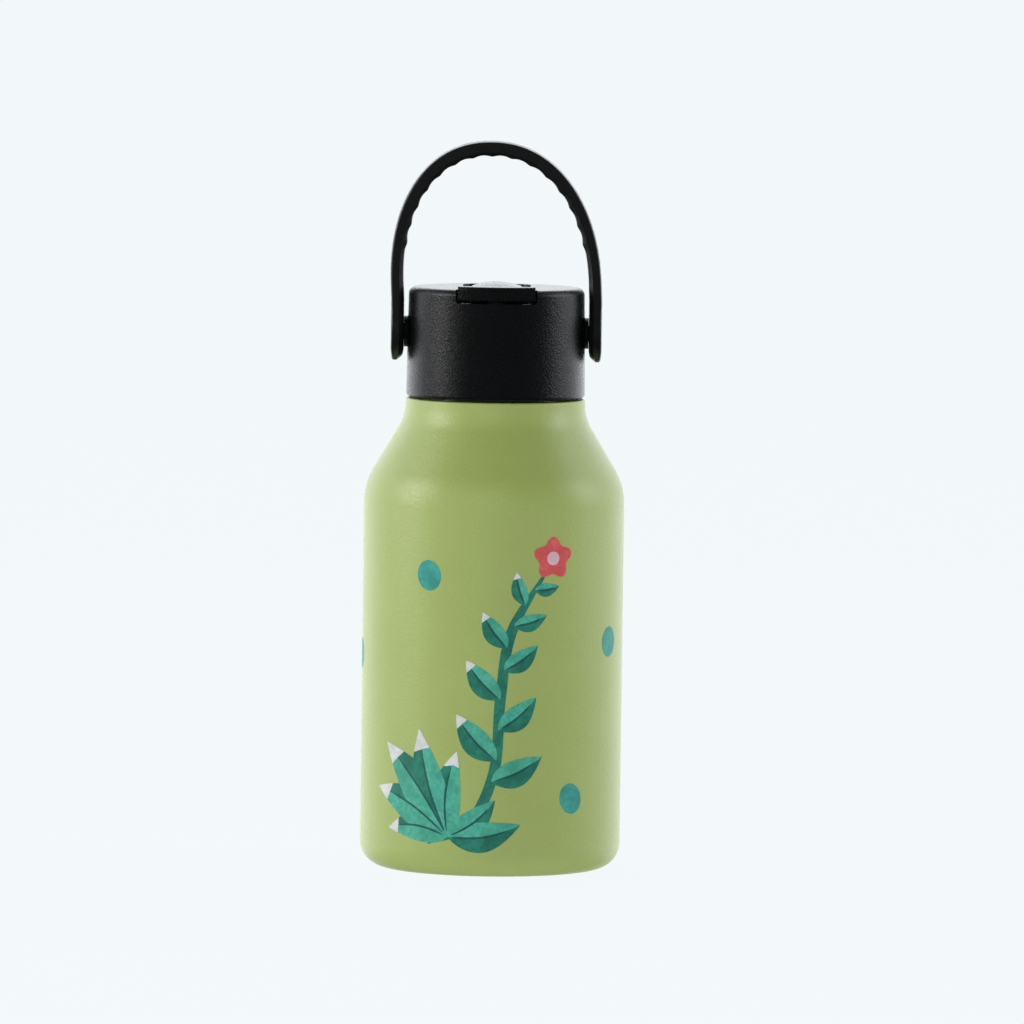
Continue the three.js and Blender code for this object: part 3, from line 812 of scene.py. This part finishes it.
def ink_skin(name, shapes, layer):
    """The flat outlines as thin closed skins on the wall."""
    rise = INK_STEP * (layer + 2)
    step_s, step_z = INK_GRID
    verts, faces = [], []
    for outline in shapes:
        low = Vector((min(p.x for p in outline), min(p.y for p in outline)))
        high = Vector((max(p.x for p in outline), max(p.y for p in outline)))
        grid = [
            Vector((low.x + (i + 0.5 * (j % 2)) * step_s, low.y + j * step_z))
            for i in range(1, int((high.x - low.x) / step_s) + 1)
            for j in range(1, int((high.y - low.y) / step_z) + 1)
        ]
        n = len(outline)
        loop = [(k, (k + 1) % n) for k in range(n)]
        inside = [list(range(n))]
        flat, _, triangles, *_ = geometry.delaunay_2d_cdt(outline + grid, loop, inside, 1, 1e-4)
        start = len(verts)
        for depth in (rise, INK_ROOT):
            for p in flat:
                r = BODY_R + depth
                verts.append((r * math.sin(p.x / BODY_R), -r * math.cos(p.x / BODY_R), p.y))
        count = len(flat)
        seen = {}
        for tri in triangles:
            faces.append([start + k for k in tri])
            faces.append([start + count + k for k in reversed(tri)])
            for a, b in zip(tri, [*tri[1:], tri[0]]):
                seen[(a, b)] = True
        for a, b in seen:
            if (b, a) not in seen:
                faces.append([start + b, start + a, start + count + a, start + count + b])
    used = sorted({k for face in faces for k in face})
    place = {k: i for i, k in enumerate(used)}
    return new_object(name, [verts[k] for k in used], [[place[k] for k in face] for face in faces])


def sprig_shapes():
    """The outlines by ink: a bushy plant, whose stem rises to a flower, and plain round spots."""
    inks = {"deep_teal": [], "light_teal": [], "vein": [], "grey": [], "coral": [], "pink": []}

    def add_leaf(root, angle, length, width, bend, tipped):
        turn = 1 if bend >= 0 else -1
        edges = leaf(root, angle, length, width, bend)
        upper, middle, lower = edges[turn], edges[0], edges[-turn]
        inks["deep_teal"].append(upper + lower[-2:0:-1])
        inks["light_teal"].append(middle + lower[-2:0:-1])
        inks["vein"].append(ribbon(middle[1:14], 0.6))
        if tipped:
            inks["grey"].append(upper[13:] + lower[-2:12:-1])

    stem = smooth_line([(-18, 9.5), (-6, 15), (1, 30), (2.5, 50), (5.5, 69), (15.5, 86)], 12)
    inks["deep_teal"].append(ribbon(stem, 3.0))
    for angle, length, width, bend in (
        (176, 20, 8.5, -0.1), (153, 28, 10.5, -0.08), (130, 33, 11.5, -0.05), (107, 31, 10.5, 0.05),
        (84, 24, 9, 0.08), (38, 17, 7.5, -0.08), (10, 21, 8.5, -0.08),
    ):
        add_leaf((-12, 11.5), angle, length, width, bend, angle > 60)
    for share, turn, length, width in (
        (0.36, -1, 16, 7.6), (0.44, 1, 17, 7.8), (0.52, -1, 14, 6.8),
        (0.6, 1, 14.5, 6.8), (0.68, -1, 12, 5.8), (0.75, 1, 12, 5.8),
        (0.82, -1, 10, 4.8), (0.88, 1, 9.5, 4.6), (0.94, -1, 7.5, 3.8),
    ):
        i = round(share * (len(stem) - 1))
        way = stem[i + 1] - stem[i]
        angle = math.degrees(math.atan2(way.y, way.x)) + turn * 48
        add_leaf(stem[i], angle, length, width, turn * 0.06, turn > 0)
    bloom = stem[-1] + Vector((1.8, 3.2))
    inks["coral"].append(oval(bloom, 5.2, 5.2, 0.3, 60, 0.16))
    inks["pink"].append(oval(bloom, 1.9, 1.9))
    spots = [
        (-18.5, 84, 0.2), (40, 65, -0.1), (24, 22, 0.3),
        (-54, 60, 0), (-80, 88, 0.2), (-84, 27, -0.3),
        (70, 92, 0.1), (66, 33, 0), (102, 62, 0.2),
    ]
    inks["spot_teal"] = [oval((s, z), 3.7, 4.3, turn) for s, z, turn in spots]
    return inks


# ---------------------------------------------------------------- lid
def channel(name, spread, z0, z1):
    outline = rounded([
        (-CHANNEL_HALF - spread, -30),
        (CHANNEL_HALF + spread, -30),
        (CHANNEL_HALF + spread, CHANNEL_BACK + spread, 4 + spread),
        (-CHANNEL_HALF - spread, CHANNEL_BACK + spread, 4 + spread),
    ])
    return prism(name, outline, "Z", z0, z1)


def lid_envelope(name):
    return turned(name, [
        (0, LID_BOTTOM),
        (LID_R, LID_BOTTOM, 1.1),
        (LID_TOP_R, LID_TOP, LID_ROUNDING),
        (0, LID_TOP),
    ], to_axis=True)


def pivot_boss(side):
    boss = turned("boss", [
        (0, 23.7),
        (PIVOT_BOSS_R + 0.5, 23.7),
        (PIVOT_BOSS_R + 0.5, 24.3),
        (PIVOT_BOSS_R, 24.9, 0.5),
        (PIVOT_BOSS_R, PIVOT_BOSS_END, 0.15),
        (0, PIVOT_BOSS_END),
    ], to_axis=True, segments=SMALL_ROUND)
    return set_across(boss, side)


def lid_cover():
    tub_floor = CHANNEL_FLOOR - TUB_FLOOR
    hollow = turned("hollow", [
        (0, LID_BOTTOM - 1),
        (LID_R - LID_WALL, LID_BOTTOM - 1),
        (LID_TOP_R - LID_WALL, LID_TOP - 1.8, 0.6),
        (0, LID_TOP - 1.8),
    ], to_axis=True)
    cover = combine(lid_envelope("lid_cover_fine"), "DIFFERENCE", hollow)
    tub = channel("tub", TUB_WALL, tub_floor, LID_TOP - 1)
    combine(tub, "INTERSECT", lid_envelope("envelope"))
    combine(cover, "UNION", tub, pivot_boss(-1), pivot_boss(1))
    room = combine(channel("room", 0, CHANNEL_FLOOR, LID_TOP + 5), "INTERSECT",
                   rod("bore", LID_R - LID_WALL, 140, 170, segments=ROUND))
    notch = prism("notch", rounded([
        (-NOTCH_HALF, NOTCH_BOTTOM, 0.9),
        (NOTCH_HALF, NOTCH_BOTTOM, 0.9),
        (NOTCH_HALF, LID_TOP + 5),
        (-NOTCH_HALF, LID_TOP + 5),
    ]), "Y", -30, NOTCH_BACK)
    holes = [
        rod("pin_hole", PIN_R + FIT, -20, 20, "X", (HINGE_Y, HINGE_Z)),
        rod("stud_hole_left", STUD_R + GAP, -30, -20, "X", (0, PIVOT_Z)),
        rod("stud_hole_right", STUD_R + GAP, 20, 30, "X", (0, PIVOT_Z)),
        rod("straw_hole", STRAW_HOLE_R, tub_floor - 1, CHANNEL_FLOOR + 1, "Z", (0, HINGE_Y)),
        rod("vent_hole", 1.5, tub_floor - 1, CHANNEL_FLOOR + 1, "Z", (0, VENT_Y)),
    ]
    combine(cover, "DIFFERENCE", room, notch, *holes)
    smooth(soften(cover, 0.3, 40, 3))
    shift = LID_R - LID_TOP_R
    ring_r = LID_TOP_R - LID_ROUNDING + shift * LID_ROUNDING / (LID_TOP - LID_BOTTOM) / 2
    return true_normals(
        cover,
        cone_surface(LID_R, LID_BOTTOM, LID_TOP_R, LID_TOP),
        flat_surface(LID_TOP),
        edge_surface(ring_r, LID_TOP - LID_ROUNDING, LID_ROUNDING),
    )


def lid_liner():
    cup = turned("liner_cup", [
        (0, LINER_TOP - LINER_DISC),
        (LINER_BORE_R, LINER_TOP - LINER_DISC, 0.3),
        (LINER_BORE_R, LID_BOTTOM + 0.6, 0.3),
        (LINER_R, LID_BOTTOM + 0.6, 0.4),
        (LINER_R, LINER_TOP, 0.6),
        (0, LINER_TOP),
    ], to_axis=True)
    root, crest = LINER_BORE_R + THREAD_ROOT, LINER_BORE_R - THREAD_HEIGHT
    ridge = thread_ridge(root, crest, 1.8, 0.8, NECK_THREAD_Z - 0.5, 0.25, 1.0)
    combine(cup, "UNION", ridge)
    combine(cup, "DIFFERENCE",
            rod("straw_hole", STRAW_HOLE_R, 140, 150, "Z", (0, HINGE_Y)),
            rod("vent_hole", 2.1, 140, 150, "Z", (0, VENT_Y)))
    return smooth(soften(cup, 0.12, 50, 2))


def about_straw(name, corners):
    """A tube about the straw's axis."""
    return turned(name, corners, SMALL_ROUND, (0, HINGE_Y, 0))


def lid_gasket():
    low, high = NECK_TOP + FIT, LINER_TOP - LINER_DISC - FIT
    inner, outer = NECK_R - 2.0, LINER_BORE_R - GAP
    return turned("gasket", [
        (inner, low, 0.5),
        (outer, low, 0.5),
        (outer, high, 0.5),
        (inner, high, 0.5),
    ])


def hub_seal():
    ring = about_straw("seat_ring", [
        (2.6, 149.0, 0.2),
        (4.9, 149.0, 0.2),
        (4.9, 151.1, 0.2),
        (2.6, 151.1, 0.2),
    ])
    hub_room = rod("hub_room", HUB_R + FIT, -9, 9, "X", (HINGE_Y, HINGE_Z), ROUND)
    return combine(ring, "DIFFERENCE", hub_room)


def straw_adapter():
    return about_straw("straw_socket", [
        (2.6, 148.7, 0.2),
        (2.6, 143.0, 0.3),
        (3.7, 143.0, 0.2),
        (3.7, 131.0, 0.3),
        (4.9, 131.0, 0.4),
        (4.9, LINER_TOP + GAP, 0.3),
        (6.2, LINER_TOP + GAP, 0.3),
        (6.2, 148.7, 0.4),
    ])


def straw():
    """Cut aslant at the bottom, so that it can't seal against the floor."""
    tube = about_straw("straw_tube", [(2.7, 12.5), (3.5, 12.5), (3.5, 142.7, 0.2), (2.7, 142.7, 0.2)])
    cut = block("aslant", (-10, 10), (-10, 10), (-4, 4))
    return combine(tube, "DIFFERENCE", put(cut, (0, HINGE_Y, 9.9), PI / 5, "Y"))


def vent_valve():
    return turned("umbrella_valve", [
        (0, 143.7),
        (3.6, 144.3, 0.3),
        (3.6, 144.95, 0.2),
        (1.8, 144.95, 0.2),
        (1.8, 147.1),
        (2.5, 147.1, 0.2),
        (1.9, 148.5, 0.5),
        (0, 148.5),
    ], SMALL_ROUND, (0, VENT_Y, 0), to_axis=True)


# ---------------------------------------------------------------- spout
def quarter(depth, radius):
    """How far a rounded edge of that radius has drawn in at a depth from the rim."""
    if depth >= radius:
        return 0.0
    return radius - math.sqrt(max(0.0, radius * radius - (radius - depth) ** 2))


def arm_bar():
    """The crowned bar that lies behind the lip, drawn section by section from the front to the back."""
    section = rounded([
        (-ARM_HALF, ARM_BOTTOM),
        (ARM_HALF, ARM_BOTTOM),
        (ARM_HALF, ARM_CREST - 1.4, 1.2),
        (0, ARM_CREST + 0.6, 18),
        (-ARM_HALF, ARM_CREST - 1.4, 1.2),
    ], finest=0.06)
    verts, faces = [], []
    n = len(section)
    for i in range(ARM_STEPS + 1):
        y = ARM_FRONT + (ARM_BACK - ARM_FRONT) * math.sin(PI / 2 * i / ARM_STEPS)
        fall = 0.0071 * max(0, CREST_FRONT - y) ** 2 + 0.0293 * max(0, y - CREST_BACK) ** 2
        drop = fall + quarter(ARM_BACK - y, 2.5)
        verts += [(p.x, y, p.y - drop * (p.y > ARM_SIDE_TOP)) for p in section]
    for i in range(ARM_STEPS):
        near, far = i * n, (i + 1) * n
        for k in range(n):
            on = (k + 1) % n
            faces.append([near + k, near + on, far + on, far + k])
    faces += [list(range(n)), list(range(ARM_STEPS * n, ARM_STEPS * n + n))]
    return new_object("spout_arm_fine", verts, faces)


def spout_arm():
    arm = combine(arm_bar(), "DIFFERENCE", block("under_hub", (-10, 10), (4.0, 20), (150, HINGE_Z)))
    front = turned("front", [
        (0, LIP_BOTTOM),
        (LIP_R, LIP_BOTTOM, 0.5),
        (LIP_R, LIP_TOP, 0.9),
        (0, LIP_TOP),
    ], to_axis=True)
    lip = block("lip", (-LIP_HALF, LIP_HALF), (-30, LIP_BACK), (LIP_BOTTOM - 1, LIP_TOP + 1))
    combine(lip, "INTERSECT", front)
    combine(arm, "UNION", lip, rod("hub", HUB_R, -HUB_HALF, HUB_HALF, "X", (HINGE_Y, HINGE_Z), ROUND))
    combine(arm, "DIFFERENCE",
            rod("pocket", POCKET_R, POCKET_FRONT, POCKET_BACK, "Y", (0, HINGE_Z)),
            block("pocket_mouth", (-POCKET_R, POCKET_R), (POCKET_FRONT, POCKET_BACK), (150, HINGE_Z)),
            rod("flow", FLOW_R, -5, 20, "Y", (0, HINGE_Z)),
            rod("pin_left", PIN_R + FIT, -12, -3.6, "X", (HINGE_Y, HINGE_Z)),
            rod("pin_right", PIN_R + FIT, 3.6, 12, "X", (HINGE_Y, HINGE_Z)))
    smooth(soften(arm, 0.3, 35, 3))
    return true_normals(arm, cone_surface(LIP_R, LIP_BOTTOM, LIP_R, LIP_TOP))


def mouthpiece():
    nozzle = turned("mouthpiece_fine", [
        (FLOW_R, 0, 0.2),
        (4.9, 0, 0.4),
        (4.9, 4.0, 0.6),
        (4.2, 6.0, 1),
        (3.9, 17.0, 3),
        (4.4, 21.9, 1.2),
        (FLOW_R, 21.9, 0.6),
    ], segments=96)
    return put(nozzle, (0, 0.2, HINGE_Z), PI / 2, "X")


def spout_pin(side):
    pin = turned("pin", [
        (0, 4.1),
        (PIN_R, 4.1, 0.2),
        (PIN_R, 12.6, 0.3),
        (0, 12.6),
    ], SMALL_ROUND, to_axis=True)
    return set_across(pin, side, HINGE_Y, HINGE_Z)


# ---------------------------------------------------------------- handle
def bevelled(depth, size):
    """How far a 45 degree bevel with soft ends has drawn in at a depth from the rim."""
    blend = 0.35
    t = size - depth
    if t >= blend:
        return t
    return 0.0 if t <= -blend else (t + blend) ** 2 / (4 * blend)


def arch_point(half, rise, share):
    """A point on half a superellipse, from the left foot to the right one."""
    c, s = math.cos(PI * (1 - share)), math.sin(PI * (1 - share))
    power = 2 / ARCH_POWER
    return Vector((half * math.copysign(abs(c) ** power, c), ARCH_Z + rise * abs(s) ** power))


def handle_stations():
    """The stations along the loop, from the left end to the right.

    Each is the outer point, the inner point, the height over the pivot, and how many ridge pitches
    it is from the top. Points are (x, z).
    """
    inner_half = HANDLE_HALF - HANDLE_THICK
    nose = [-HANDLE_END_R * math.cos(PI / 2 * k / NOSE_STEPS) for k in range(NOSE_STEPS + 1)]
    leg = [k * (ARCH_Z - PIVOT_Z) / LEG_STEPS for k in range(1, LEG_STEPS)]
    left = []
    for h in nose + leg:
        taper = max(0.0, (-NOSE_DEPTH - h) / (HANDLE_END_R - NOSE_DEPTH)) ** 1.3
        outer = Vector((-HANDLE_HALF + 0.4 * taper, PIVOT_Z + h))
        inner = Vector((-inner_half - 0.7 * taper, PIVOT_Z + h))
        left.append((outer, inner, h, CUSPS))
    arch = []
    travelled = [0.0]
    for i in range(ARCH_STEPS + 1):
        outer = arch_point(HANDLE_HALF, ARCH_RISE, i / ARCH_STEPS)
        inner = arch_point(inner_half, ARCH_RISE - CROWN_THICK, i / ARCH_STEPS)
        if arch:
            travelled.append(travelled[-1] + (inner - arch[-1][1]).length)
        arch.append([outer, inner, outer.y - PIVOT_Z, 0.0])
    for row, along in zip(arch, travelled):
        row[3] = (along - travelled[-1] / 2) / CUSP_PITCH
    mirror = Matrix(((-1, 0), (0, 1)))
    right = [(mirror @ outer, mirror @ inner, h, pitches) for outer, inner, h, pitches in reversed(left)]
    return left + arch + right


def strap_half_width(height):
    """The round end runs into the strap's straight sides."""
    strap = HANDLE_WIDTH / 2
    disc = math.sqrt(max(0.0, HANDLE_END_R**2 - height**2))
    if height <= 0:
        return disc
    soft = 0.8 if height < 12 else 0.0
    return strap + 0.5 * (disc - strap + math.sqrt((disc - strap) ** 2 + soft * soft))


def cusp_ridge(pitches):
    """How far a finger ridge stands out of the inner face. The legs have none."""
    if abs(pitches) >= CUSPS / 2:
        return 0.0
    return CUSP_HEIGHT * max(0.0, 1 - math.sqrt(math.sin(pitches * PI) ** 2 + 0.03))


def strap_section(outer, inner, height, pitches):
    """The points round the strap at one station: those of the outer face, then of the inner."""
    way = (outer - inner).normalized()
    half = max(0.02, strap_half_width(height))
    ridge = cusp_ridge(pitches)
    bevel = 1.3 - 0.45 * min(1.0, max(0.0, height / 45))
    points = []
    for face in ("outer", "inner"):
        for j in range(STRAP_STEPS + 1):
            y = half * math.sin(PI * (j / STRAP_STEPS - 0.5))
            depth = half - abs(y)
            if height < 0:
                depth = min(depth, HANDLE_END_R - math.hypot(y, height))
            if face == "outer":
                crown = 0.25 * (y / half) ** 2 if half > 1 else 0.0
                base = outer - way * (quarter(depth, 0.6) + crown)
            else:
                drawn = bevelled(depth, bevel)
                base = inner + way * (drawn - ridge * max(0.35, 1 - drawn))
            share = (base.y - LEAN_FROM_Z) / (ARCH_Z + ARCH_RISE - LEAN_FROM_Z)
            points.append((base.x - HANDLE_LEAN * max(0.0, share), y, base.y))
    return points


def strap_faces(grid):
    """The faces between the stations' rings of points, and those that close both ends."""
    faces = []
    n = STRAP_STEPS + 1
    for a, b in zip(grid, grid[1:]):
        for j in range(STRAP_STEPS):
            faces.append([a[j], a[j + 1], b[j + 1], b[j]])
            faces.append([a[n + j], b[n + j], b[n + j + 1], a[n + j + 1]])
        faces.append([a[0], b[0], b[n], a[n]])
        faces.append([a[n - 1], a[2 * n - 1], b[2 * n - 1], b[n - 1]])
    for ring in (grid[0], grid[-1]):
        for j in range(STRAP_STEPS):
            faces.append([ring[j], ring[n + j], ring[n + j + 1], ring[j + 1]])
    return faces


def handle_loop():
    verts, grid = [], []
    for station in handle_stations():
        section = strap_section(*station)
        grid.append([len(verts) + k for k in range(len(section))])
        verts += section
    loop = new_object("handle_strap", verts, strap_faces(grid))
    for side in (-1, 1):
        near, seat, far = side * 20, side * 27.9, side * 35
        combine(loop, "DIFFERENCE",
                rod("eye", STUD_R + GAP, min(near, far), max(near, far), "X", (0, PIVOT_Z)),
                rod("seat", STUD_HEAD_R + GAP, min(seat, far), max(seat, far), "X", (0, PIVOT_Z)))
    return smooth(loop, 30)


def pivot_stud(side):
    return set_across(turned("stud", [
        (0, 21.3),
        (1.7, 21.3, 0.4),
        (1.7, 22.9, 0.1),
        (STUD_R, 22.9, 0.2),
        (STUD_R, 28.1),
        (STUD_HEAD_R, 28.1, 0.1),
        (STUD_HEAD_R, 29.3, 0.5),
        (2.6, 29.3, 0.3),
        (2.3, 29.0, 0.3),
        (0, 29.0),
    ], to_axis=True, segments=SMALL_ROUND), side)


def pivot_ring(side):
    ring = turned("ring", [
        (1.9, 21.9, 0.1),
        (3.0, 21.9, 0.2),
        (3.0, 22.6, 0.2),
        (1.9, 22.6, 0.1),
    ], SMALL_ROUND)
    return set_across(ring, side)


# ---------------------------------------------------------------- build
make_camera()
make_world()
make_floor()
area_light("left_softbox", -78, 19, 1.9, (0.7, 1.1), 14.0, (1.0, 1.0, 0.98))
area_light("right_softbox", 92, 19, 1.9, (0.6, 1.1), 8.0, (0.95, 0.97, 1.0))
area_light("front_fill", -8, 18, 2.2, (1.2, 1.2), 15.0, glossy=False)

COAT = powder_coat()
GRAINED = grained_plastic()
HANDLE = handle_plastic()
LINER = smooth_plastic("liner_plastic", srgb(30, 31, 33), srgb(36, 37, 39))
STUD = smooth_plastic("stud_plastic", srgb(22, 23, 25), srgb(30, 31, 33), 0.42)
STRAW = smooth_plastic("straw_plastic", srgb(226, 232, 232), srgb(236, 240, 240), 0.3)
STEEL = brushed_steel("brushed_steel")
DULL = brushed_steel("dull_metal", 0.45, 0.6)
MILKY = silicone("milky_silicone", srgb(214, 219, 217), srgb(226, 230, 228), 0.2)
BLACK_SILICONE = silicone("black_silicone", srgb(34, 35, 37), srgb(42, 43, 45))

finish_piece(smooth(bottle_shell()), COAT, "flask", "outer_shell", "outer_base", slot="green_coat")
finish_piece(inner_vessel(), STEEL, "flask", "inner_flask", "inner_base", slot="steel")
finish_piece(smooth(base_disc()), STEEL, "flask", "base_cover", slot="steel")
finish_piece(smooth(solder_bead()), DULL, "flask", "vacuum_seal", slot="solder")
finish_piece(smooth(getter_pill()), DULL, "flask", "getter", slot="solder")
finish_piece(smooth(lid_gasket()), MILKY, "lid_seal", "lid_gasket", slot="clear_silicone")
finish_piece(lid_cover(), GRAINED, "lid", "lid_cover", slot="black_plastic")
finish_piece(lid_liner(), LINER, "lid", "lid_liner", slot="liner_plastic")
finish_piece(smooth(hub_seal()), MILKY, "lid", "hub_seal", slot="clear_silicone")
finish_piece(smooth(straw_adapter()), MILKY, "lid", "straw_adapter", slot="clear_silicone")
finish_piece(smooth(straw()), STRAW, "lid", "straw", slot="straw_plastic")
finish_piece(smooth(vent_valve()), MILKY, "lid", "vent_valve", slot="clear_silicone")
finish_piece(spout_arm(), GRAINED, "spout", "spout_arm", slot="black_plastic")
finish_piece(smooth(mouthpiece()), BLACK_SILICONE, "spout", "mouthpiece", slot="black_silicone")
finish_piece(handle_loop(), HANDLE, "handle", "handle_loop", slot="handle_plastic")
for side, name in ((-1, "left"), (1, "right")):
    for make, material, node, slot in (
        (pivot_stud, STUD, "pivot_stud", "black_plastic"),
        (pivot_ring, STEEL, "pivot_ring", "steel"),
        (spout_pin, STEEL, "spout_pin", "steel"),
    ):
        piece = smooth(make(side))
        piece.name = f"{node}_{name}_fine"
        finish_piece(piece, material, "lid", f"{node}_{name}", slot=slot)

INKS = {
    "deep_teal": (0, srgb(26, 108, 90), srgb(40, 134, 112)),
    "spot_teal": (0, srgb(46, 142, 132), srgb(66, 166, 152)),
    "light_teal": (1, srgb(58, 154, 130), srgb(82, 182, 156)),
    "vein": (2, srgb(22, 84, 82), srgb(32, 98, 92)),
    "grey": (2, srgb(202, 203, 202), srgb(220, 221, 220)),
    "coral": (1, srgb(204, 78, 82), srgb(226, 98, 98)),
    "pink": (2, srgb(210, 174, 184), srgb(222, 190, 198)),
}
for ink, shapes in sprig_shapes().items():
    layer, dark, light = INKS[ink]
    skin = smooth(ink_skin(f"print_{ink}", shapes, layer))
    finish_piece(skin, print_ink(f"ink_{ink}", dark, light), "flask")

bpy.context.scene.view_settings.view_transform = "Standard"
